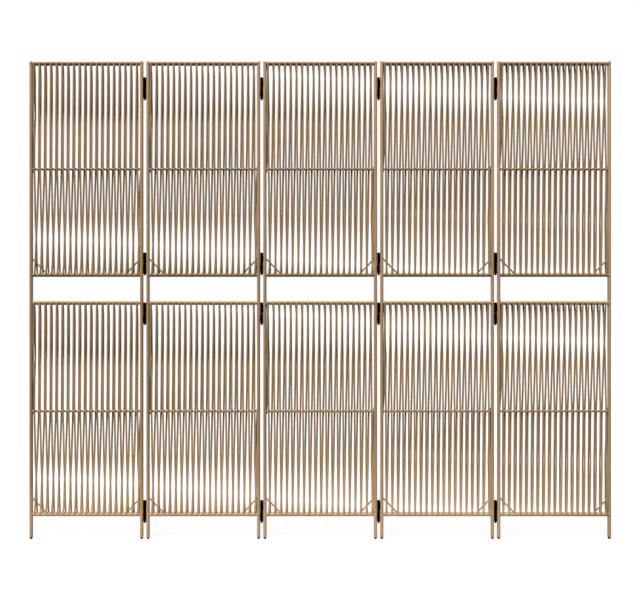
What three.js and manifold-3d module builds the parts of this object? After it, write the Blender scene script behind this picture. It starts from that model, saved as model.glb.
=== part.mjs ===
// A folding screen of five panels. Each panel is a welded frame of thin steel tube, with an upper and
// a lower section that are each wound with one strip of plastic rattan. Barrel hinges join the panels.
// Millimetres, +Z up, the front faces -Y, and the origin is on the floor under the screen's middle.

import * as THREE from 'three';
import { mergeVertices } from 'three/addons/utils/BufferGeometryUtils.js';
import Module from 'manifold-3d';

const wasm = await Module();
wasm.setup();

// The whole screen.
const panelCount = 5;
const panelWidth = 429.8;
const hingeGap = 11.2;            // between the stiles of two panels
const screenHeight = 1800;

// The frame's tubes and rods.
const stileDiameter = 12.7;
const stileWall = 1;
const railDiameter = 12;
const railWall = 1;
const rodDiameter = 9.2;
const rodWall = 0.8;
const braceDiameter = 6;

// Heights on the frame, between centres.
const lowRailHeight = 92.6;       // the floor to the lower section's bottom rail
const sectionGap = 105.8;         // the upper section's bottom rail to the lower section's top rail
const upperRodDrop = 398.0;       // the upper section's top rail to its middle rod
const lowerRodDrop = 408;         // the lower section's top rail to its middle rod
const braceRise = 60;             // the bottom rail to the brace's upper end
const braceReach = 58;            // the stile's inner side to the brace's lower end

// The strip of plastic rattan, half round, with its flat side on the rails.
const stripWidth = 5.2;
const stripThickness = 1.3;
const loopPitch = 21.55;
const firstLoopMargin = 3.3;      // between the left stile and the first loop on the top rail
const legDrift = 5.7;             // sideways from a loop's turn on the top rail to the one on the bottom rail
const rearRodDrift = 8.2;         // sideways from a turn on the bottom rail to the middle rod, behind it
const turnShift = 1;              // sideways while the strip crosses a rail
const endLegGap = 1;              // where the leg beside a stile crosses the next one, which it pushes aside
const stripTail = 12;             // past the middle rod, at both ends of the strip

// The barrel hinges.
const hingeLength = 87;
const hingePinHalfLength = 45;
const hingeTaper = 9;
const hingeTipDiameter = 3;
const hingePinDiameter = 5.4;
const hingePinLength = 32;
const highHingeDrop = 52;         // the upper section's top rail to the top of the hinge below it
const upperHingeRise = 84.5;      // the upper section's bottom rail to the top of the hinge at it
const lowerHingeRise = 2.3;       // the lower section's top rail to the top of the hinge at it
const lowHingeRise = 52.5;        // the lower section's bottom rail to the top of the hinge at it

// The plastic feet.
const footHeight = 8;             // below the stile's open end
const footCollarHeight = 2;
const footCollarDiameter = 12;
const footDiameter = 10;
const footBevelHeight = 3.6;
const footFlatDiameter = 7;
const footPlugLength = 20;

// Room between pieces that touch on the real screen.
const clearance = 0.3;

// How finely round pieces are faceted.
const stileSides = 12;
const railSides = 8;
const rodSides = 8;
const boreSides = 6;
const braceSides = 6;
const hingeSides = 10;
const footSides = 8;

// Materials.
const frameColour = 0xa28e76;
const stripColour = 0x8e7b64;
const hingeColour = 0x17110e;
const footColour = 0x1d1915;

// Sizes that follow from the ones above.
const panelPitch = panelWidth + hingeGap;
const screenWidth = panelCount * panelPitch - hingeGap;
const woundRadius = railDiameter / 2 + clearance + stripThickness;
const upperTop = screenHeight - woundRadius;
const sectionHeight = (upperTop - lowRailHeight - sectionGap) / 2;
const upperBottom = upperTop - sectionHeight;
const lowerTop = upperBottom - sectionGap;
const sections = [
  { name: 'upper', top: upperTop, rod: upperTop - upperRodDrop, bottom: upperBottom },
  { name: 'lower', top: lowerTop, rod: lowerTop - lowerRodDrop, bottom: lowRailHeight },
];
const stileCentres = [stileDiameter / 2, panelWidth - stileDiameter / 2];
const hingeTops = [
  upperTop - highHingeDrop,
  upperBottom + upperHingeRise,
  lowerTop + lowerHingeRise,
  lowRailHeight + lowHingeRise,
];

function steelMaterial(colour) {
  return new THREE.MeshStandardMaterial({ color: colour, roughness: 0.45, metalness: 0.3, flatShading: true });
}

function plasticMaterial(colour) {
  return new THREE.MeshStandardMaterial({ color: colour, roughness: 0.6, metalness: 0, flatShading: true });
}

function namedMesh(name, geometry, material) {
  const mesh = new THREE.Mesh(geometry, material);
  mesh.name = name;
  return mesh;
}

// A closed geometry as a solid that can be joined and cut.
function solidOf(geometry) {
  geometry.deleteAttribute('normal');
  geometry.deleteAttribute('uv');
  const merged = mergeVertices(geometry);
  return new wasm.Manifold(new wasm.Mesh({
    numProp: 3,
    vertProperties: merged.getAttribute('position').array,
    triVerts: new Uint32Array(merged.getIndex().array),
  }));
}

function geometryOf(solid) {
  const mesh = solid.getMesh();
  const geometry = new THREE.BufferGeometry();
  geometry.setAttribute('position', new THREE.BufferAttribute(mesh.vertProperties, 3));
  geometry.setIndex(new THREE.BufferAttribute(mesh.triVerts, 1));
  return geometry;
}

// A round bar between two points.
function bar(start, end, diameter, sides) {
  const along = new THREE.Vector3().subVectors(end, start);
  const geometry = new THREE.CylinderGeometry(diameter / 2, diameter / 2, along.length(), sides);
  geometry.rotateX(Math.PI / 2);
  const turn = new THREE.Quaternion().setFromUnitVectors(new THREE.Vector3(0, 0, 1), along.clone().normalize());
  geometry.applyQuaternion(turn);
  geometry.translate((start.x + end.x) / 2, (start.y + end.y) / 2, (start.z + end.z) / 2);
  return solidOf(geometry);
}

// A solid turned about the Z axis from [radius, height] points.
function turned(outline, sides) {
  const points = outline.map(([radius, height]) => new THREE.Vector2(radius, height));
  const geometry = new THREE.LatheGeometry(points, sides);
  geometry.rotateX(Math.PI / 2);
  return geometryOf(solidOf(geometry));
}

// A bar from one stile's axis to the other's, at a height.
function crossBar(height, diameter, sides) {
  const [left, right] = stileCentres;
  return bar(new THREE.Vector3(left, 0, height), new THREE.Vector3(right, 0, height), diameter, sides);
}

// The brace in a section's bottom corner. The side is 0 for the left stile and 1 for the right.
function brace(section, side) {
  const inward = side === 0 ? 1 : -1;
  const stile = stileCentres[side];
  const upperEnd = new THREE.Vector3(stile, 0, section.bottom + braceRise + stileDiameter / 2);
  const lowerEnd = new THREE.Vector3(stile + inward * (stileDiameter / 2 + braceReach), 0, section.bottom);
  return bar(upperEnd, lowerEnd, braceDiameter, braceSides);
}

// Two stiles, two rails and a middle rod a section, and a brace in each bottom corner, welded into
// one piece. The bores of the rails and rods run into those of the stiles, which are open below.
function frame() {
  const solids = [];
  const bores = [];
  for (const centre of stileCentres) {
    const foot = new THREE.Vector3(centre, 0, footHeight);
    const head = new THREE.Vector3(centre, 0, screenHeight);
    const boreFoot = new THREE.Vector3(centre, 0, 0);
    const boreHead = new THREE.Vector3(centre, 0, screenHeight - stileWall);
    solids.push(bar(foot, head, stileDiameter, stileSides));
    bores.push(bar(boreFoot, boreHead, stileDiameter - 2 * stileWall, boreSides));
  }
  for (const section of sections) {
    for (const height of [section.top, section.bottom]) {
      solids.push(crossBar(height, railDiameter, railSides));
      bores.push(crossBar(height, railDiameter - 2 * railWall, boreSides));
    }
    solids.push(crossBar(section.rod, rodDiameter, rodSides));
    bores.push(crossBar(section.rod, rodDiameter - 2 * rodWall, boreSides));
  }
  const tubes = wasm.Manifold.union(solids).subtract(wasm.Manifold.union(bores));
  const inside = wasm.Manifold.union(bores);
  const braces = sections.flatMap((section) => [brace(section, 0), brace(section, 1)]);
  return geometryOf(wasm.Manifold.union([tubes, ...braces.map((rod) => rod.subtract(inside))]));
}

// Where the strip runs on the top rail, the middle rod and the bottom rail, from the panel's left side.
const firstTopTurn = stileDiameter + clearance + stripWidth / 2 + firstLoopMargin;
const lastBottomTurn = panelWidth - stileDiameter - clearance - stripWidth / 2 - turnShift / 2;
const loopCount = Math.floor((lastBottomTurn - firstTopTurn - legDrift) / loopPitch) + 1;

// The strip's path as a list of stations. A station has a place, and the direction in Y and Z that its
// round side faces, stretched where the path turns a corner. The strip goes up the front, over the top
// rail, down the back, across to the front of the middle rod, under the bottom rail from the back,
// and across to the back of the middle rod on its way up, so that its two legs cross like an eight.
// Both ends lie behind the middle rod. There the leg has to pass between a stile and the next leg.
function windingStations(section) {
  const railReach = railDiameter / 2 + clearance + stripThickness / 2;
  const rodReach = rodDiameter / 2 + clearance + stripThickness / 2;
  const crossing = railReach / (railReach + rodReach);
  const upperCrossing = THREE.MathUtils.lerp(section.top + railReach, section.rod, crossing);
  const lowerCrossing = THREE.MathUtils.lerp(section.bottom - railReach, section.rod, crossing);
  const endLeg = stileDiameter + clearance + stripWidth / 2;
  const pushedLeg = endLeg + stripWidth + endLegGap;
  const stations = [];
  const add = (x, y, z, faceY, faceZ) => stations.push({ x, y, z, faceY, faceZ });
  add(endLeg, rodReach, section.rod - stripTail, -1, 0);
  add(endLeg, rodReach, section.rod, -1, 0);
  add(endLeg, 0, upperCrossing, -1, 0);
  for (let loop = 0; loop < loopCount; loop += 1) {
    const top = firstTopTurn + loop * loopPitch;
    const bottom = top + legDrift;
    add(top - turnShift / 2, -railReach, section.top + railReach, -1, 1);
    add(top + turnShift / 2, railReach, section.top + railReach, 1, 1);
    if (loop === 0) {
      add(pushedLeg, 0, upperCrossing, 1, 0);
    }
    add(top + legDrift / 2, -rodReach, section.rod, 1, 0);
    if (loop === loopCount - 1) {
      add(panelWidth - pushedLeg, 0, lowerCrossing, 1, 0);
    }
    add(bottom - turnShift / 2, railReach, section.bottom - railReach, 1, -1);
    add(bottom + turnShift / 2, -railReach, section.bottom - railReach, -1, -1);
    if (loop < loopCount - 1) {
      add(bottom + rearRodDrift, rodReach, section.rod, -1, 0);
    }
  }
  add(panelWidth - endLeg, 0, lowerCrossing, -1, 0);
  add(panelWidth - endLeg, rodReach, section.rod, -1, 0);
  add(panelWidth - endLeg, rodReach, section.rod + stripTail, -1, 0);
  return stations;
}

// The strip's three edges at a station: both sides of its flat face, then its round side.
function stripEdges(station) {
  const flat = -stripThickness / 2;
  const round = stripThickness / 2;
  const { x, y, z, faceY, faceZ } = station;
  return [
    new THREE.Vector3(x - stripWidth / 2, y + flat * faceY, z + flat * faceZ),
    new THREE.Vector3(x + stripWidth / 2, y + flat * faceY, z + flat * faceZ),
    new THREE.Vector3(x, y + round * faceY, z + round * faceZ),
  ];
}

// One unbroken strip through all the stations, closed at both ends.
function weave(section) {
  const rings = windingStations(section).map(stripEdges);
  const edges = rings[0].length;
  const positions = rings.flat().flatMap((point) => point.toArray());
  const triangles = [];
  for (let ring = 0; ring < rings.length - 1; ring += 1) {
    for (let edge = 0; edge < edges; edge += 1) {
      const here = ring * edges + edge;
      const beside = ring * edges + (edge + 1) % edges;
      triangles.push(here, beside + edges, beside);
      triangles.push(here, here + edges, beside + edges);
    }
  }
  const last = (rings.length - 1) * edges;
  triangles.push(0, 1, 2);
  triangles.push(last, last + 2, last + 1);
  const geometry = new THREE.BufferGeometry();
  geometry.setAttribute('position', new THREE.Float32BufferAttribute(positions, 3));
  geometry.setIndex(triangles);
  return geometry;
}

// The least distance between two outlines, from each one's corners to the other one's sides.
function outlineGap(first, second) {
  let least = Infinity;
  const nearest = new THREE.Vector3();
  for (const [corners, sides] of [[first, second], [second, first]]) {
    for (const corner of corners) {
      for (let side = 0; side < sides.length; side += 1) {
        const edge = new THREE.Line3(sides[side], sides[(side + 1) % sides.length]);
        edge.closestPointToPoint(corner, true, nearest);
        least = Math.min(least, corner.distanceTo(nearest));
      }
    }
  }
  return least;
}

// The least gap of a winding to itself: its legs are cut at many heights, and each cut's outline is
// measured to those of the other legs.
function leastWindingGap(section) {
  const step = 2;
  const rings = windingStations(section).map(stripEdges);
  let least = Infinity;
  for (let height = section.bottom; height <= section.top; height += step) {
    const cuts = [];
    for (let ring = 0; ring < rings.length - 1; ring += 1) {
      const low = rings[ring][0].z;
      const high = rings[ring + 1][0].z;
      const share = (height - low) / (high - low);
      if (high !== low && share >= 0 && share <= 1) {
        cuts.push(rings[ring].map((point, edge) => point.clone().lerp(rings[ring + 1][edge], share)));
      }
    }
    for (const cut of cuts) {
      for (const other of cuts) {
        const apart = Math.abs(cut[2].x - other[2].x);
        if (other !== cut && apart > 0 && apart < loopPitch) {
          least = Math.min(least, outlineGap(cut, other));
        }
      }
    }
  }
  return least;
}

// A plug for the stile's open end, with a collar under the tube and a rounded tip on the floor.
function foot() {
  const boreRadius = stileDiameter / 2 - stileWall;
  const plugRadius = boreRadius * Math.cos(Math.PI / boreSides) - clearance;
  const collarTop = footHeight - clearance;
  return turned([
    [0, 0],
    [footFlatDiameter / 2, 0],
    [footDiameter / 2, footBevelHeight],
    [footDiameter / 2, collarTop - footCollarHeight],
    [footCollarDiameter / 2, collarTop - footCollarHeight],
    [footCollarDiameter / 2, collarTop],
    [plugRadius, collarTop],
    [plugRadius, footHeight + footPlugLength],
    [0, footHeight + footPlugLength],
  ], footSides);
}

// The hinge's lower half: a barrel with a tapered end below and the pin above.
function hingePinHalf() {
  const barrelRadius = hingeGap / 2 - clearance;
  const shoulder = hingePinHalfLength;
  return turned([
    [0, 0],
    [hingeTipDiameter / 2, 0],
    [barrelRadius, hingeTaper],
    [barrelRadius, shoulder],
    [hingePinDiameter / 2, shoulder],
    [hingePinDiameter / 2, shoulder + hingePinLength],
    [0, shoulder + hingePinLength],
  ], hingeSides);
}

// The hinge's upper half: a barrel with a blind bore that turns on the pin.
function hingeSocketHalf() {
  const barrelRadius = hingeGap / 2 - clearance;
  const boreRadius = (hingePinDiameter / 2 + clearance) / Math.cos(Math.PI / hingeSides);
  const mouth = hingePinHalfLength + clearance;
  const boreEnd = hingePinHalfLength + hingePinLength + clearance;
  return turned([
    [0, boreEnd],
    [boreRadius, boreEnd],
    [boreRadius, mouth],
    [barrelRadius, mouth],
    [barrelRadius, hingeLength],
    [0, hingeLength],
  ], hingeSides);
}

function panel(number) {
  const group = new THREE.Group();
  const prefix = `panel_${number}`;
  group.add(namedMesh(`${prefix}_frame`, frame(), steelMaterial(frameColour)));
  for (const section of sections) {
    group.add(namedMesh(`${prefix}_${section.name}_weave`, weave(section), plasticMaterial(stripColour)));
  }
  ['left', 'right'].forEach((side, index) => {
    const mesh = namedMesh(`${prefix}_${side}_foot`, foot(), plasticMaterial(footColour));
    mesh.position.x = stileCentres[index];
    group.add(mesh);
  });
  return group;
}

// The hinges in the gap to the right of a panel.
function gapHinges(number) {
  const group = new THREE.Group();
  hingeTops.forEach((top, index) => {
    const prefix = `gap_${number}_hinge_${index + 1}`;
    const pinHalf = namedMesh(`${prefix}_pin_half`, hingePinHalf(), steelMaterial(hingeColour));
    const socketHalf = namedMesh(`${prefix}_socket_half`, hingeSocketHalf(), steelMaterial(hingeColour));
    for (const half of [pinHalf, socketHalf]) {
      half.position.z = top - hingeLength;
      group.add(half);
    }
  });
  return group;
}

const screen = new THREE.Group();
for (let number = 1; number <= panelCount; number += 1) {
  const left = (number - 1) * panelPitch - screenWidth / 2;
  const panelGroup = panel(number);
  panelGroup.position.x = left;
  screen.add(panelGroup);
  if (number < panelCount) {
    const hinges = gapHinges(number);
    hinges.position.x = left + panelWidth + hingeGap / 2;
    screen.add(hinges);
  }
}

for (const section of sections) {
  const gap = leastWindingGap(section).toFixed(2);
  console.log(`${section.name} winding: ${loopCount} loops, least gap to itself ${gap} mm`);
}

export default screen;
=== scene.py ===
"""A folding screen of five panels: welded tube frames, each wound with strips of plastic rattan.

The formulas are in millimetres and the meshes in metres. +Z is up, the front faces -Y, and the
origin is on the floor under the screen's middle.
"""
import math

import bpy
import numpy as np
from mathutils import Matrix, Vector


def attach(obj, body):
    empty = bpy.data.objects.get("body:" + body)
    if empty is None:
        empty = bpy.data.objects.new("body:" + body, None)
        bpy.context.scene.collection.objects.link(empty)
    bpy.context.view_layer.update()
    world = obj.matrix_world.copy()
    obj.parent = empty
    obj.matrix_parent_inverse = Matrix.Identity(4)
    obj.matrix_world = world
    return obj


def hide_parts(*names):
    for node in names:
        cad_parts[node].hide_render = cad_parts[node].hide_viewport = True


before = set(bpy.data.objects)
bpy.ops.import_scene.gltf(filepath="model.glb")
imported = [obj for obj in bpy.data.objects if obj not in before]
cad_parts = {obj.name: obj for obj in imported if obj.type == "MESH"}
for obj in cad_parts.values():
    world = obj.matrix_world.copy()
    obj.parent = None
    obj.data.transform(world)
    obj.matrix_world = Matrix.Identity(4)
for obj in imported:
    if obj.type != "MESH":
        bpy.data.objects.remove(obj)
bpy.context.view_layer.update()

MM = 0.001
TURN = 2 * math.pi

# The whole screen, as its solids are.
PANELS = 5
PANEL_WIDTH = 429.8
HINGE_GAP = 11.2
PANEL_PITCH = PANEL_WIDTH + HINGE_GAP
SCREEN_LEFT = -(PANELS * PANEL_PITCH - HINGE_GAP) / 2
SCREEN_HEIGHT = 1800.0

# The frame.
STILE_RADIUS = 6.35
STILE_CENTRES = (STILE_RADIUS, PANEL_WIDTH - STILE_RADIUS)
STILE_FOOT = 8.0
STILE_WALL = 1.0
RAIL_RADIUS = 6.0
ROD_RADIUS = 4.6
BRACE_RADIUS = 3.0
BRACE_RISE = 60.0
BRACE_REACH = 58.0
COPE_SUNK = 0.4
BRACE_SUNK = 3.0
WELD_RADIUS = 0.8
BRACE_WELD_RADIUS = 0.7

# A section is a top rail, a middle rod and a bottom rail: the heights of their centres.
SECTIONS = {"upper": (1792.4, 1394.4, 995.4), "lower": (889.6, 481.6, 92.6)}

# The half-round strip, and the binding on the rails.
STRIP_WIDTH = 7.2
STRIP_THICKNESS = 1.35
STRIP_EDGE = 0.16
STRIP_FLAT = 0.94
WOUND_INNER = 6.2
WOUND_MIDDLE = WOUND_INNER + STRIP_THICKNESS / 2
LOOP_PITCH = 21.55
LOOPS = 19
BINDING_TURN = LOOP_PITCH / 3
BINDING_WIDTH = 7.1
BINDING_STEPS = 12
PRESSED = 0.12

# The hinges, from the lowest point to the top.
HINGE_TOPS = (1740.4, 1079.9, 891.9, 145.1)
HINGE_LENGTH = 87.0
HINGE_SPLIT = 45.0
HINGE_RADIUS = 5.4
HINGE_TAPER = 11.0
HINGE_TIP = 1.1
PIN_RADIUS = 2.7
PIN_LENGTH = 31.7
SOCKET_BORE = 3.05
SOCKET_DEPTH = 33.0
BEAD_RADIUS = 1.25
BEAD_RIPPLES = 11
GROOVE_DEPTH = 2.0

FOOT_PLUG_RADIUS = 4.9
FOOT_PLUG_TOP = 28.0

SHARP_EDGE = math.radians(38)


# ---------------------------------------------------------------------------------- surfaces

def linear(hex_colour):
    """An sRGB hex colour as linear RGBA."""
    channels = np.array([hex_colour >> 16 & 255, hex_colour >> 8 & 255, hex_colour & 255]) / 255
    low = channels / 12.92
    high = ((channels + 0.055) / 1.055) ** 2.4
    return (*np.where(channels <= 0.04045, low, high).tolist(), 1.0)


def swept(path, across, outward, profile, ring=False):
    """A closed profile carried along a path.

    A point is path + across * x + outward * y, for each place on the path and each (x, y) of the
    profile, which runs anticlockwise. The second result holds the quads between neighbouring
    points and the faces that close the two ends, and the third each quad corner's distance round
    the profile and along the path.
    """
    steps = len(path)
    profile = np.broadcast_to(profile, (steps,) + profile.shape[-2:])
    sides = profile.shape[1]
    points = (path[:, None] + across[:, None] * profile[..., :1]
              + outward[:, None] * profile[..., 1:])
    index = np.arange(steps * sides).reshape(steps, sides)
    here = index if ring else index[:-1]
    there = np.roll(index, -1, 0) if ring else index[1:]
    quads = np.stack([here, np.roll(here, -1, 1), np.roll(there, -1, 1), there], -1).reshape(-1, 4)
    gaps = np.linalg.norm(np.diff(path, axis=0, append=path[:1]), axis=1)
    along = np.concatenate([[0], np.cumsum(gaps)])
    widths = np.linalg.norm(np.diff(profile[0], axis=0, append=profile[0][:1]), axis=1)
    around = np.concatenate([[0], np.cumsum(widths)])
    rows = len(here)
    u = np.stack([around[:-1], around[1:], around[1:], around[:-1]], -1)
    v = np.stack([along[:rows], along[:rows], along[1:rows + 1], along[1:rows + 1]], -1)
    corners = np.stack(np.broadcast_arrays(u[None], v[:, None]), -1).reshape(-1, 4, 2)
    caps = [] if ring else [index[0][::-1], index[-1]]
    points = points.reshape(-1, 3)
    if volume(points, quads, caps) < 0:
        quads = quads[:, ::-1]
        corners = corners[:, ::-1]
        caps = [cap[::-1] for cap in caps]
    return points, quads, corners, caps


def volume(points, quads, caps):
    """Six times the volume of a closed skin: the sum of p0 . (p1 x p2) over its triangles."""
    fans = [np.column_stack([np.full(len(cap) - 2, cap[0]), cap[1:-1], cap[2:]]) for cap in caps]
    triangles = np.concatenate([quads[:, [0, 1, 2]], quads[:, [0, 2, 3]], *fans])
    a, b, c = (points - points.mean(0))[triangles].transpose(1, 0, 2)
    return (a * np.cross(b, c)).sum()


def turned(outline, centre, sides=32):
    """A turned surface: an outline of (radius, height) points is carried round a vertical axis.

    A point is (x + radius * cos a, y + radius * sin a, height). The outline's ends are closed by
    flat faces.
    """
    outline = np.array(outline, float)
    path = np.column_stack([np.zeros((len(outline), 2)), outline[:, 1]]) + (*centre, 0)
    angle = np.arange(sides) * TURN / sides
    circle = np.column_stack([np.cos(angle), np.sin(angle)])
    profile = outline[:, :1, None] * circle
    across = np.tile([1.0, 0, 0], (len(path), 1))
    outward = np.tile([0, 1.0, 0], (len(path), 1))
    return swept(path, across, outward, profile)


def bar(start, end, radius, sides):
    """A round bar: a circle carried from one point to the other."""
    path = np.array([start, end], float)
    along = (path[1] - path[0]) / np.linalg.norm(path[1] - path[0])
    across = np.cross([0, 1.0, 0], along)
    outward = np.cross(along, across)
    return swept(path, np.tile(across, (2, 1)), np.tile(outward, (2, 1)), circle(radius, sides))


def circle(radius, sides):
    """The corners of a round profile: radius times the cosine and sine of even angles."""
    angle = np.arange(sides) * TURN / sides
    return radius * np.column_stack([np.cos(angle), np.sin(angle)])


def coped_tube(height, radius, sides=24):
    """A tube between the two stiles with coped ends.

    Each point of a ring has the angle a, y = radius * cos a and z = height + radius * sin a, and
    its x lies on the stile's surface: the stile's centre plus or minus sqrt(stile radius squared
    - y squared), sunk a little into the weld.
    """
    angle = np.arange(sides) * TURN / sides
    y = radius * np.cos(angle)
    z = height + radius * np.sin(angle)
    reach = np.sqrt(STILE_RADIUS ** 2 - y ** 2) - COPE_SUNK
    left = np.column_stack([STILE_CENTRES[0] + reach, y, z])
    right = np.column_stack([STILE_CENTRES[1] - reach, y, z])
    index = np.arange(2 * sides).reshape(2, sides)
    quads = np.stack([index[0], np.roll(index[0], -1), np.roll(index[1], -1), index[1]], -1)
    corners = np.zeros((sides, 4, 2))
    return np.concatenate([left, right]), quads, corners, [index[0][::-1], index[1]]


def weld(height, radius, side, sides=6, steps=24):
    """The bead round a tube's coped end.

    A small circle is carried along the line where a tube of this radius meets the stile:
    x = stile's centre + inward * sqrt(stile radius squared - y squared), y = radius * cos a,
    z = height + radius * sin a. Its outward side leans away from both tubes.
    """
    inward = 1 if side == 0 else -1
    angle = np.arange(steps) * TURN / steps
    y = radius * np.cos(angle)
    z = radius * np.sin(angle)
    x = np.sqrt(STILE_RADIUS ** 2 - y ** 2)
    path = np.column_stack([STILE_CENTRES[side] + inward * x, y, height + z])
    from_tube = np.column_stack([np.zeros(steps), y, z]) / radius
    tangent = np.roll(path, -1, 0) - np.roll(path, 1, 0)
    tangent /= np.linalg.norm(tangent, axis=1)[:, None]
    across = np.cross(from_tube, tangent)
    return swept(path, across, from_tube, circle(WELD_RADIUS, sides), ring=True)


def half_round(width, thickness, bends):
    """The strip's outline: a flat side, and an elliptical arc over it.

    The arc's points are (width / 2 * cos a, thickness * (e + (1 - e) * sin a)), where e is the
    blunt edge's share, and the flat side is y = 0, a little narrower. All is moved down by half
    the thickness.
    """
    angle = np.linspace(0, math.pi, bends)
    arc = np.column_stack([width / 2 * np.cos(angle),
                           STRIP_EDGE + (1 - STRIP_EDGE) * np.sin(angle)])
    flat = np.array([[-STRIP_FLAT * width / 2, 0], [STRIP_FLAT * width / 2, 0]])
    outline = np.concatenate([arc, flat])
    return (outline - (0, 0.5)) * (1, thickness)


def smoothstep(value):
    """0 below 0, 1 above 1, and 3 v^2 - 2 v^3 between."""
    value = np.clip(value, 0, 1)
    return value * value * (3 - 2 * value)


# ---------------------------------------------------------------------------------- the winding

# Where the strip lies, from the panel's left side: loop k adds k loop pitches.
FRONT_TOP = 18.9
BACK_TOP = 17.6
FRONT_ROD = 21.15
BACK_ROD = 10.8
FRONT_BOTTOM = 2.2
BACK_BOTTOM = 25.0
# How far aside a leg starts, because the strip leaves its turn on the rail aslant.
BACK_TOP_SWING = -2.4
FRONT_BOTTOM_SWING = -1.8
BACK_BOTTOM_SWING = 0.9
SWING_SHARE = 0.08

ROD_REACH = ROD_RADIUS + 0.02 + STRIP_THICKNESS / 2
END_ROD_REACH = ROD_REACH + 0.6
# How a leg's depth runs, in shares of its length: the two legs of a loop push each other apart
# until they have slipped past.
DEPTH_SHARES = (0, 0.4, 0.58, 0.7, 1)
DEPTHS = (WOUND_MIDDLE, 3.4, 0, -1.8, -ROD_REACH)
CROSSING = 0.53
CROSSING_SHARE = 0.14
CROSSING_PUSH = 0.85
CROSSING_TWIST = math.radians(8)
# Beside a stile the loop's other leg is pushed further, and the end leg twists in what room is
# left.
END_PUSH = 2.2
END_TWISTS = (math.radians(40), math.radians(-20))
END_LEG_ROOM = 0.05
# Where the strip's two ends are hidden behind the rod: in from the panel's side, and their length.
TUCK = 11.0
TAIL = 12.0
LEG_STEPS = 16
LEG_SPACING = 1.15
ARC_STEPS = 12


def leg(start_x, end_x, rail, rod, side, swing=0.0, push=CROSSING_PUSH,
        most_twist=CROSSING_TWIST):
    """A leg between a rail (share 0) and the middle rod (share 1), as x, y, z and twist.

    x and z run evenly from one end to the other, x gets swing * exp(-(share / swing share)^2),
    and y is side * the depths between the given shares. The hump
    h = exp(-((share - crossing) / crossing share)^2) times push moves the loop's two legs apart
    in x, and times the most twist it turns them about Z, so that their edges slip past each
    other like louvres.
    """
    share = np.linspace(0, 1, LEG_STEPS + 1) ** LEG_SPACING
    x = start_x + (end_x - start_x) * share + swing * np.exp(-(share / SWING_SHARE) ** 2)
    y = side * np.interp(share, DEPTH_SHARES, DEPTHS)
    z = rail + (rod - rail) * share
    hump = np.exp(-((share - CROSSING) / CROSSING_SHARE) ** 2)
    upper = 1 if rail > rod else -1
    x = x + side * upper * push * hump
    twist = -upper * most_twist * hump
    return np.column_stack([x, y, z, twist])


def end_leg(start_x, end_x, rail, rod, side, swing=0.0):
    """The leg beside a stile, squeezed between the stile and the loop's other leg.

    It is a leg that ends a little deeper behind the rod, and its x stays clear of the stile's
    round side: it is at least half the strip's width times the twist's cosine away from the
    stile's centre plus sqrt(stile radius squared - y squared).
    """
    path = leg(start_x, end_x, rail, rod, -1, swing, CROSSING_PUSH, END_TWISTS[side])
    late = np.maximum(path[:, 1], 0) / ROD_REACH
    path[:, 1] += late * (END_ROD_REACH - ROD_REACH)
    inward = 1 if side == 0 else -1
    back = path[:, 1] + STRIP_THICKNESS / 2
    half = np.sqrt(np.maximum(STILE_RADIUS ** 2 - back ** 2, 0))
    reach = STRIP_WIDTH / 2 * np.cos(path[:, 3])
    limit = STILE_CENTRES[side] + inward * (half + reach + END_LEG_ROOM)
    limit = np.where(half > 0, limit, path[:, 0])
    path[:, 0] = inward * np.maximum(inward * path[:, 0], inward * limit)
    return path


def over_rail(start_x, end_x, rail, start_angle, end_angle):
    """A half turn on a rail: y = -radius * cos a, z = rail + radius * sin a, x runs evenly."""
    angle = np.linspace(start_angle, end_angle, ARC_STEPS + 1)[1:-1]
    share = np.linspace(0, 1, ARC_STEPS + 1)[1:-1]
    x = start_x + (end_x - start_x) * share
    y = -WOUND_MIDDLE * np.cos(angle)
    z = rail + WOUND_MIDDLE * np.sin(angle)
    return np.column_stack([x, y, z, np.zeros(len(x))])


def strip_path(section):
    """The whole strip of a section as one path, in an eight round the rails and the middle rod.

    It goes up the front, over the top rail, down the back, in front of the rod, to the back of
    the bottom rail, under it, and up the front and behind the rod to the next loop. Each point
    is x, y, z and the strip's twist.
    """
    top, rod, bottom = SECTIONS[section]
    parts = [np.array([[TUCK, END_ROD_REACH, rod - TAIL, 0]])]
    for loop in range(LOOPS):
        shift = loop * LOOP_PITCH
        first, last = loop == 0, loop == LOOPS - 1
        front_top, back_top = FRONT_TOP + shift, BACK_TOP + shift
        front_rod, back_rod = FRONT_ROD + shift, BACK_ROD + shift
        back_bottom, front_bottom = BACK_BOTTOM + shift, FRONT_BOTTOM + shift + LOOP_PITCH
        if first:
            up = end_leg(front_top, TUCK, top, rod, 0)
        else:
            up = leg(front_top, back_rod, top, rod, -1)
        if last:
            up_low = end_leg(front_bottom, PANEL_WIDTH - TUCK, bottom, rod, 1,
                             FRONT_BOTTOM_SWING)
        else:
            up_low = leg(front_bottom, back_rod + LOOP_PITCH, bottom, rod, -1,
                         FRONT_BOTTOM_SWING)
        down = leg(back_top, front_rod, top, rod, 1, BACK_TOP_SWING,
                   END_PUSH if first else CROSSING_PUSH)
        down_low = leg(back_bottom, front_rod, bottom, rod, 1, BACK_BOTTOM_SWING,
                       END_PUSH if last else CROSSING_PUSH)
        parts += [
            up[::-1] if first else up[-2::-1],
            over_rail(front_top, back_top + BACK_TOP_SWING, top, 0, math.pi),
            down,
            down_low[-2::-1],
            over_rail(back_bottom + BACK_BOTTOM_SWING, front_bottom + FRONT_BOTTOM_SWING,
                      bottom, -math.pi, 0),
            up_low,
        ]
    parts.append(np.array([[PANEL_WIDTH - TUCK, END_ROD_REACH, rod + TAIL, 0]]))
    return np.concatenate(parts)


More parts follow.
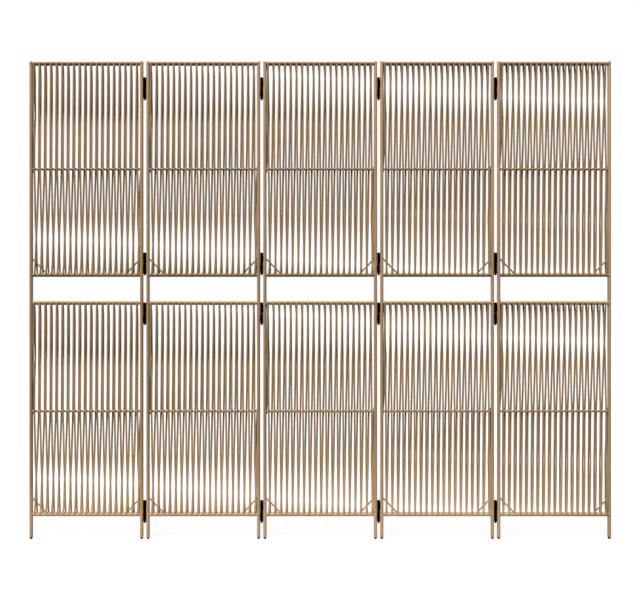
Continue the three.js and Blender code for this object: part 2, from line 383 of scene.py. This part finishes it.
def outward_of(path):
    """The way that the strip's round side faces, for a strip that lies square across X.

    It is the path's direction turned a quarter about X: (0, -dz, dy), made one unit long.
    """
    forward = np.gradient(path, axis=0)
    outward = np.column_stack([np.zeros(len(path)), -forward[:, 2], forward[:, 1]])
    return outward / np.linalg.norm(outward, axis=1)[:, None]


def strip(section):
    """The half-round profile carried along the section's path.

    It lies across (cos twist, sin twist, 0), and its round side faces outward, less the share of
    outward that lies along that line.
    """
    path = strip_path(section)
    twist = path[:, 3]
    path = path[:, :3]
    across = np.column_stack([np.cos(twist), np.sin(twist), np.zeros(len(path))])
    outward = outward_of(path)
    outward -= (outward * across).sum(1)[:, None] * across
    outward /= np.linalg.norm(outward, axis=1)[:, None]
    return swept(path, across, outward, half_round(STRIP_WIDTH, STRIP_THICKNESS, 7))


def binding(rail, first_pass, leg_side):
    """The strip wound round a rail between the stiles, three turns to a loop's pitch.

    With a counted in turns from a front pass: x = first pass + a * turn, y = -radius * cos a and
    z = rail - radius * sin a. Each third turn is pressed thin where a loop's half turn lies over
    it, on the top side of a top rail or the under side of a bottom rail. The winding starts and
    ends where a stile leaves it room: at a quarter turn, above or below the rail, the strip has
    to clear the stile's side.
    """
    room = STILE_RADIUS * 2 + BINDING_WIDTH / 2
    overrun = 0.33
    first = (room - first_pass) / BINDING_TURN
    last = (PANEL_WIDTH - room - first_pass) / BINDING_TURN
    first = math.ceil((first - 0.25) * 2) / 2 + 0.25 - overrun
    last = math.floor((last - 0.25) * 2 + 0.02) / 2 + 0.25 + overrun
    turns = np.linspace(first, last, round((last - first) * BINDING_STEPS) + 1)
    angle = turns * TURN
    turn_from_leg = (turns + 1.5 - leg_side / 4) % 3 - 1.5
    thick = smoothstep((np.abs(turn_from_leg) - 0.33) / 0.07)
    thick = PRESSED + (1 - PRESSED) * thick
    profile = half_round(BINDING_WIDTH, STRIP_THICKNESS, 4)
    profile = np.tile(profile, (len(turns), 1, 1))
    profile[..., 1] = (profile[..., 1] + STRIP_THICKNESS / 2) * thick[:, None]
    inner = WOUND_INNER - 0.1 * (1 - thick)
    outward = np.column_stack([np.zeros(len(turns)), -np.cos(angle), -np.sin(angle)])
    path = np.column_stack([first_pass + turns * BINDING_TURN, np.zeros(len(turns)),
                            np.full(len(turns), rail)])
    path += outward * inner[:, None]
    across = np.tile([1.0, 0, 0], (len(turns), 1))
    return swept(path, across, outward, profile)


# ---------------------------------------------------------------------------------- the pieces

def stile(side):
    """A stile: its bore, wall and outside as one turned outline, closed flush at the top."""
    bore = STILE_RADIUS - STILE_WALL
    return turned([
        (bore, STILE_FOOT + 30),
        (bore, STILE_FOOT + 0.2),
        (bore + 0.2, STILE_FOOT),
        (STILE_RADIUS - 0.25, STILE_FOOT),
        (STILE_RADIUS, STILE_FOOT + 0.3),
        (STILE_RADIUS, SCREEN_HEIGHT - 1.1),
        (STILE_RADIUS - 0.35, SCREEN_HEIGHT - 0.35),
        (STILE_RADIUS - 1.2, SCREEN_HEIGHT),
    ], (STILE_CENTRES[side], 0))


def brace_line(bottom, side):
    """The two points where a brace's axis meets the stile's and the rail's."""
    inward = 1 if side == 0 else -1
    centre = STILE_CENTRES[side]
    upper = np.array([centre, 0, bottom + BRACE_RISE + STILE_RADIUS])
    lower = np.array([centre + inward * (STILE_RADIUS + BRACE_REACH), 0, bottom])
    return upper, lower


def brace(bottom, side):
    """A brace in a section's bottom corner, from inside the stile to inside the rail."""
    upper, lower = brace_line(bottom, side)
    way = (lower - upper) / np.linalg.norm(lower - upper)
    return bar(upper + BRACE_SUNK * way, lower - BRACE_SUNK * way, BRACE_RADIUS, 16)


def brace_weld(bottom, side, steps=16):
    """The bead where a brace leaves the stile.

    The brace's circle is drawn out along the brace until it meets the stile: with the circle's
    point at p and the brace's direction d, the distance t solves |p + t d| = stile radius in the
    plane across the stile. A small circle is carried along that line.
    """
    upper, lower = brace_line(bottom, side)
    way = (lower - upper) / np.linalg.norm(lower - upper)
    over = np.cross(way, [0, 1.0, 0])
    angle = np.arange(steps) * TURN / steps
    from_brace = np.cos(angle)[:, None] * over + np.sin(angle)[:, None] * np.array([0, 1.0, 0])
    rim = BRACE_RADIUS * from_brace
    a = way[0] ** 2
    b = rim[:, 0] * way[0]
    c = rim[:, 0] ** 2 + rim[:, 1] ** 2 - STILE_RADIUS ** 2
    reach = (-b + np.sqrt(b * b - a * c)) / a
    path = upper + rim + reach[:, None] * way
    tangent = np.roll(path, -1, 0) - np.roll(path, 1, 0)
    tangent /= np.linalg.norm(tangent, axis=1)[:, None]
    across = np.cross(from_brace, tangent)
    across /= np.linalg.norm(across, axis=1)[:, None]
    outward = np.cross(tangent, across)
    return swept(path, across, outward, circle(BRACE_WELD_RADIUS, 6), ring=True)


def tube_frame():
    """The skins of one panel's frame: stiles, coped rails and rods, braces and their welds."""
    skins = [stile(0), stile(1)]
    for top, rod, bottom in SECTIONS.values():
        for height, radius in ((top, RAIL_RADIUS), (rod, ROD_RADIUS), (bottom, RAIL_RADIUS)):
            skins.append(coped_tube(height, radius))
            skins += [weld(height, radius, side) for side in (0, 1)]
        for side in (0, 1):
            skins += [brace(bottom, side), brace_weld(bottom, side)]
    return skins


def pin_barrel(side_x):
    """The hinge's lower half: a barrel with a bullet end below, the pin above, and its weld.

    The bullet's radius is tip + (barrel - tip) * sin(share * quarter turn)^0.9 up its taper.
    """
    share = np.linspace(0, 1, 9)
    radius = HINGE_TIP + (HINGE_RADIUS - HINGE_TIP) * np.sin(share * math.pi / 2) ** 0.9
    bullet = list(zip(radius, 0.4 + (HINGE_TAPER - 0.4) * share))
    outline = [(0.7, 0.0)] + bullet + [
        (HINGE_RADIUS, HINGE_SPLIT - 0.9),
        (HINGE_RADIUS - 0.35, HINGE_SPLIT - 0.3),
        (HINGE_RADIUS - 0.6, HINGE_SPLIT - 0.1),
        (PIN_RADIUS, HINGE_SPLIT - 0.1),
        (PIN_RADIUS, HINGE_SPLIT + PIN_LENGTH - 0.7),
        (PIN_RADIUS - 0.4, HINGE_SPLIT + PIN_LENGTH),
    ]
    return [turned(outline, (0, 0), 28), *weld_beads(side_x, HINGE_TAPER + 4, HINGE_SPLIT - 6)]


def socket_barrel(side_x):
    """The hinge's upper half: a barrel with a bore for the pin, a flat top, and its weld."""
    outline = [
        (SOCKET_BORE, HINGE_SPLIT + SOCKET_DEPTH),
        (SOCKET_BORE, HINGE_SPLIT + 0.5),
        (SOCKET_BORE + 0.2, HINGE_SPLIT + 0.3),
        (HINGE_RADIUS - 0.5, HINGE_SPLIT + 0.3),
        (HINGE_RADIUS - 0.15, HINGE_SPLIT + 0.5),
        (HINGE_RADIUS, HINGE_SPLIT + 1.1),
        (HINGE_RADIUS, HINGE_LENGTH - 0.9),
        (HINGE_RADIUS - 0.3, HINGE_LENGTH - 0.3),
        (HINGE_RADIUS - 0.9, HINGE_LENGTH),
    ]
    return [turned(outline, (0, 0), 28), *weld_beads(side_x, HINGE_SPLIT + 7, HINGE_LENGTH - 8)]


def weld_beads(side_x, low, high):
    """The two upright beads that join a barrel to its stile, in the grooves front and back.

    A small circle is carried up the line x = half the gap, y = the groove's depth, and its
    radius ripples by a tenth with the welder's steps and shrinks to a quarter at both ends.
    """
    beads = []
    z = np.linspace(low, high, 33)
    share = np.linspace(0, 1, len(z))
    ripple = 1 + 0.1 * np.sin(share * TURN * BEAD_RIPPLES)
    ends = np.minimum(1, 0.25 + 6 * np.minimum(share, 1 - share))
    size = BEAD_RADIUS * ripple * ends
    for y in (-GROOVE_DEPTH, GROOVE_DEPTH):
        path = np.column_stack([np.full(len(z), side_x * HINGE_GAP / 2), np.full(len(z), y), z])
        profile = size[:, None, None] * circle(1, 8)
        across = np.tile([1.0, 0, 0], (len(z), 1))
        outward = np.tile([0, 1.0, 0], (len(z), 1))
        beads.append(swept(path, across, outward, profile))
    return beads


def foot():
    """A moulded foot: a rounded tip on the floor, a collar under the tube and a plug in it."""
    return turned([
        (3.4, 0.0),
        (4.0, 0.35),
        (4.6, 1.4),
        (4.95, 2.8),
        (5.0, 4.2),
        (5.0, 5.6),
        (5.6, 5.7),
        (5.95, 5.9),
        (6.0, 6.2),
        (6.0, 7.5),
        (5.8, 7.7),
        (FOOT_PLUG_RADIUS, 7.7),
        (FOOT_PLUG_RADIUS, FOOT_PLUG_TOP - 2),
        (FOOT_PLUG_RADIUS - 0.7, FOOT_PLUG_TOP),
    ], (0, 0), 28)


def add_piece(name, skins, shift, material, body, nodes):
    """Join skins into one mesh, moved by shift (mm), and tell the frame what it stands for."""
    points = []
    faces = []
    corners = []
    count = 0
    for skin_points, quads, quad_corners, caps in skins:
        points.append(skin_points)
        faces += (quads + count).tolist() + [(cap + count).tolist() for cap in caps]
        corners.append(quad_corners.reshape(-1, 2))
        corners += [np.zeros((len(cap), 2)) for cap in caps]
        count += len(skin_points)
    points = (np.concatenate(points) + shift) * MM
    mesh = bpy.data.meshes.new(name)
    mesh.from_pydata(points.tolist(), [], faces)
    layer = mesh.uv_layers.new(name="strip")
    layer.data.foreach_set("uv", (np.concatenate(corners) * MM).astype(np.float32).ravel())
    mesh.materials.append(material)
    mesh.shade_smooth()
    mesh.set_sharp_from_angle(angle=SHARP_EDGE)
    piece = bpy.data.objects.new(name, mesh)
    bpy.context.scene.collection.objects.link(piece)
    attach(piece, body)
    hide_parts(*nodes)


# ---------------------------------------------------------------------------------- materials

def new_material(name):
    """A material with an empty tree, its Principled shader and its output."""
    material = bpy.data.materials.new(name)
    material.use_nodes = True
    tree = material.node_tree
    tree.nodes.clear()
    output = tree.nodes.new("ShaderNodeOutputMaterial")
    shader = tree.nodes.new("ShaderNodeBsdfPrincipled")
    tree.links.new(shader.outputs[0], output.inputs[0])
    return material, tree, shader


def node(tree, kind, inputs=None, **settings):
    """Add a node: settings are its properties, and an input is a value or another socket."""
    made = tree.nodes.new(kind)
    for key, value in settings.items():
        setattr(made, key, value)
    for key, value in (inputs or {}).items():
        if isinstance(value, bpy.types.NodeSocket):
            tree.links.new(value, made.inputs[key])
        else:
            made.inputs[key].default_value = value
    return made


def two_tones(tree, shader, share, dark, light):
    """Give the shader's base colour a mix of two sRGB hex colours by a share from a socket."""
    mix = node(tree, "ShaderNodeMix", data_type="RGBA")
    mix.inputs[6].default_value = linear(dark)
    mix.inputs[7].default_value = linear(light)
    tree.links.new(share, mix.inputs["Factor"])
    tree.links.new(mix.outputs[2], shader.inputs["Base Color"])


def powder_coat(name, light, dark, roughness, specular):
    """Powder coat baked on steel: an even satin colour, finely pebbled, a little uneven in tone.

    The tone drifts over 90 mm, with specks of 4 mm. Its real pebbles are under a millimetre, and
    they are drawn 1.6 mm wide so that they show.
    """
    material, tree, shader = new_material(name)
    place = node(tree, "ShaderNodeTexCoord").outputs["Object"]
    tone = node(tree, "ShaderNodeTexNoise",
                {"Vector": place, "Scale": 1 / 0.09, "Detail": 3.0}).outputs["Fac"]
    speck = node(tree, "ShaderNodeTexNoise",
                 {"Vector": place, "Scale": 1 / 0.004, "Detail": 2.0}).outputs["Fac"]
    both = node(tree, "ShaderNodeMath", {0: tone, 1: speck}, operation="ADD").outputs[0]
    share = node(tree, "ShaderNodeMapRange", {"Value": both, "From Min": 0.75, "From Max": 1.25})
    two_tones(tree, shader, share.outputs[0], dark, light)
    peel = node(tree, "ShaderNodeTexNoise",
                {"Vector": place, "Scale": 1 / 0.0016, "Detail": 1.0}).outputs["Fac"]
    bump = node(tree, "ShaderNodeBump", {"Height": peel, "Strength": 0.25, "Distance": 0.0002})
    tree.links.new(bump.outputs[0], shader.inputs["Normal"])
    satin = node(tree, "ShaderNodeMapRange", {"Value": tone, "To Min": roughness - 0.05,
                                              "To Max": roughness + 0.08})
    tree.links.new(satin.outputs[0], shader.inputs["Roughness"])
    shader.inputs["Specular IOR Level"].default_value = specular
    return material


def rattan_strip():
    """Extruded polyethylene strip: drawn lengthwise, so it has fine lines and slow tone changes.

    The lines are 0.6 mm apart and 50 mm long, and the tone changes over 30 mm across and 350 mm
    along the strip. Its skin is dull, so that its edges don't flash white.
    """
    material, tree, shader = new_material("polyethylene_rattan_strip")
    place = node(tree, "ShaderNodeUVMap", uv_map="strip").outputs[0]
    lines_place = node(tree, "ShaderNodeMapping",
                       {"Vector": place, "Scale": (1 / 0.0006, 1 / 0.05, 1)}).outputs[0]
    lines = node(tree, "ShaderNodeTexNoise", {"Vector": lines_place, "Scale": 1.0, "Detail": 3.0},
                 noise_dimensions="2D").outputs["Fac"]
    slow_place = node(tree, "ShaderNodeMapping",
                      {"Vector": place, "Scale": (1 / 0.03, 1 / 0.35, 1)}).outputs[0]
    slow = node(tree, "ShaderNodeTexNoise", {"Vector": slow_place, "Scale": 1.0, "Detail": 2.0},
                noise_dimensions="2D").outputs["Fac"]
    both = node(tree, "ShaderNodeMath", {0: lines, 1: slow}, operation="ADD").outputs[0]
    share = node(tree, "ShaderNodeMapRange", {"Value": both, "From Min": 0.7, "From Max": 1.3})
    two_tones(tree, shader, share.outputs[0], 0x907757, 0xB1926C)
    bump = node(tree, "ShaderNodeBump", {"Height": lines, "Strength": 0.35, "Distance": 0.0002})
    tree.links.new(bump.outputs[0], shader.inputs["Normal"])
    satin = node(tree, "ShaderNodeMapRange", {"Value": lines, "To Min": 0.42, "To Max": 0.62})
    tree.links.new(satin.outputs[0], shader.inputs["Roughness"])
    shader.inputs["Specular IOR Level"].default_value = 0.12
    return material


def moulded_plastic():
    """Moulded black polyethylene: a dull, spark-eroded skin, paler in its lowest 3 mm.

    The skin's grain is finer than a millimetre and is drawn 1.2 mm wide so that it shows. The
    paler tone fades out 3 mm above the floor.
    """
    material, tree, shader = new_material("moulded_polyethylene")
    place = node(tree, "ShaderNodeTexCoord").outputs["Object"]
    grain = node(tree, "ShaderNodeTexNoise",
                 {"Vector": place, "Scale": 1 / 0.0012, "Detail": 3.0}).outputs["Fac"]
    height = node(tree, "ShaderNodeSeparateXYZ", {0: place}).outputs["Z"]
    # The colour turns paler towards the floor, fading out 3 mm above it.
    paler_near_floor = node(tree, "ShaderNodeMapRange", {"Value": height, "From Min": 0.003, "From Max": 0.0,
                                              "To Min": 0.0, "To Max": 0.8}).outputs[0]
    share = node(tree, "ShaderNodeMath", {0: paler_near_floor, 1: grain}, operation="MULTIPLY")
    two_tones(tree, shader, share.outputs[0], 0x1C150F, 0x433B31)
    bump = node(tree, "ShaderNodeBump", {"Height": grain, "Strength": 0.4, "Distance": 0.0002})
    tree.links.new(bump.outputs[0], shader.inputs["Normal"])
    rough = node(tree, "ShaderNodeMapRange", {"Value": grain, "To Min": 0.5, "To Max": 0.75})
    tree.links.new(rough.outputs[0], shader.inputs["Roughness"])
    shader.inputs["Specular IOR Level"].default_value = 0.3
    return material


# ---------------------------------------------------------------------------------- making it

painted_tube = powder_coat("powder_coated_steel_tube", 0xA48667, 0x967C5E, 0.48, 0.2)
# The hinges' coat is dead matt: they show no shine at all.
painted_hinge = powder_coat("black_powder_coated_steel", 0x080403, 0x030101, 0.8, 0.0)
strip_plastic = rattan_strip()
foot_plastic = moulded_plastic()

frame_skins = tube_frame()
winding_skins = {
    name: [strip(name), binding(top, FRONT_TOP, -1),
           binding(bottom, FRONT_BOTTOM + FRONT_BOTTOM_SWING, 1)]
    for name, (top, rod, bottom) in SECTIONS.items()
}
foot_skin = foot()

for number in range(1, PANELS + 1):
    left = SCREEN_LEFT + (number - 1) * PANEL_PITCH
    panel = f"panel_{number}"
    add_piece(f"{panel}_tube_frame", frame_skins, (left, 0, 0), painted_tube, panel,
              [f"{panel}_frame"])
    for section, skins in winding_skins.items():
        add_piece(f"{panel}_{section}_winding", skins, (left, 0, 0), strip_plastic, panel,
                  [f"{panel}_{section}_weave"])
    for side, centre in zip(("left", "right"), STILE_CENTRES):
        add_piece(f"{panel}_{side}_moulded_foot", [foot_skin], (left + centre, 0, 0), foot_plastic,
                  panel, [f"{panel}_{side}_foot"])

for gap in range(1, PANELS):
    x = SCREEN_LEFT + gap * PANEL_PITCH - HINGE_GAP / 2
    for index, top in enumerate(HINGE_TOPS, 1):
        hinge = f"gap_{gap}_hinge_{index}"
        place = (x, 0, top - HINGE_LENGTH)
        add_piece(f"{hinge}_pin_barrel", pin_barrel(-1), place, painted_hinge, f"panel_{gap}",
                  [f"{hinge}_pin_half"])
        add_piece(f"{hinge}_socket_barrel", socket_barrel(1), place, painted_hinge,
                  f"panel_{gap + 1}", [f"{hinge}_socket_half"])


# ---------------------------------------------------------------------------------- the studio

LAMP_WHITE = (1, 0.985, 0.96)


def camera_white(tree):
    """1 for rays from the camera, a reflection or a transmission, and 0 for light."""
    rays = node(tree, "ShaderNodeLightPath").outputs
    seen = node(tree, "ShaderNodeMath", {0: rays["Is Camera Ray"], 1: rays["Is Glossy Ray"]},
                operation="ADD").outputs[0]
    return node(tree, "ShaderNodeMath", {0: seen, 1: rays["Is Transmission Ray"]},
                operation="ADD", use_clamp=True).outputs[0]


def studio_floor():
    """A plain pale floor that shows white, keeps the soft shadow and throws little light up."""
    mesh = bpy.data.meshes.new("studio_floor")
    far = 12
    mesh.from_pydata([(-far, -far, 0), (far, -far, 0), (far, far, 0), (-far, far, 0)], [],
                     [(0, 1, 2, 3)])
    material = bpy.data.materials.new("matt_paper_floor")
    material.use_nodes = True
    tree = material.node_tree
    tree.nodes.clear()
    output = node(tree, "ShaderNodeOutputMaterial")
    grain = node(tree, "ShaderNodeTexNoise", {"Scale": 40.0}).outputs["Fac"]
    tint = node(tree, "ShaderNodeMapRange", {"Value": grain, "To Min": 0.09, "To Max": 0.11})
    # What the eye sees is a glow plus a faint lit paper, about 1.0 together, and it takes the
    # shadow. What throws light back on the screen is a darker paper.
    shown = node(tree, "ShaderNodeBsdfDiffuse", {"Color": tint.outputs[0]}).outputs[0]
    glow = node(tree, "ShaderNodeEmission", {"Strength": 0.9}).outputs[0]
    lit = node(tree, "ShaderNodeAddShader", {0: shown, 1: glow}).outputs[0]
    bounce = node(tree, "ShaderNodeBsdfDiffuse", {"Color": (0.06, 0.058, 0.056, 1)}).outputs[0]
    both = node(tree, "ShaderNodeMixShader", {0: camera_white(tree), 1: bounce, 2: lit})
    tree.links.new(both.outputs[0], output.inputs[0])
    mesh.materials.append(material)
    floor = bpy.data.objects.new("studio_floor", mesh)
    bpy.context.scene.collection.objects.link(floor)


def studio_world(level):
    """White to the camera and in reflections, and an even soft light of the level given."""
    world = bpy.data.worlds.new("studio")
    world.use_nodes = True
    tree = world.node_tree
    tree.nodes.clear()
    output = node(tree, "ShaderNodeOutputWorld")
    soft = node(tree, "ShaderNodeBackground",
                {"Color": (1, 0.99, 0.975, 1), "Strength": level}).outputs[0]
    white = node(tree, "ShaderNodeBackground",
                 {"Color": (1, 1, 1, 1), "Strength": 1.0}).outputs[0]
    both = node(tree, "ShaderNodeMixShader", {0: camera_white(tree), 1: soft, 2: white})
    tree.links.new(both.outputs[0], output.inputs[0])
    bpy.context.scene.world = world


def soft_box(name, place, aim, size, power):
    """A large area lamp at a place, turned so that its -Z looks at the aim."""
    lamp = bpy.data.lights.new(name, "AREA")
    lamp.shape = "RECTANGLE"
    lamp.size, lamp.size_y = size
    lamp.energy = power
    lamp.color = LAMP_WHITE
    holder = bpy.data.objects.new(name, lamp)
    bpy.context.scene.collection.objects.link(holder)
    holder.location = place
    holder.rotation_euler = (Vector(aim) - Vector(place)).to_track_quat("-Z", "Y").to_euler()


def key_sun(way, power, spread):
    """A soft overhead key: a sun that shines along a direction and is spread over some degrees."""
    lamp = bpy.data.lights.new("key", "SUN")
    lamp.energy = power
    lamp.angle = math.radians(spread)
    lamp.color = LAMP_WHITE
    holder = bpy.data.objects.new("key", lamp)
    bpy.context.scene.collection.objects.link(holder)
    holder.rotation_euler = Vector(way).to_track_quat("-Z", "Y").to_euler()


studio_floor()
studio_world(0.25)
key_sun((0.22, 0.28, -0.93), 6.1, 25)
soft_box("low_fill", (-0.2, -0.22, 0.035), (-0.2, 0, 0.03), (2.3, 0.05), 2)

# The camera: level, square to the front, at the height of the screen's middle.
lens = bpy.data.cameras.new("camera")
lens.sensor_width = 36
lens.lens = 31.3
camera = bpy.data.objects.new("camera", lens)
camera.location = (-0.00075, -2.1, 0.9011)
camera.rotation_euler = (math.pi / 2, 0, 0)
bpy.context.scene.collection.objects.link(camera)
bpy.context.scene.camera = camera
bpy.context.scene.view_settings.view_transform = "Standard"
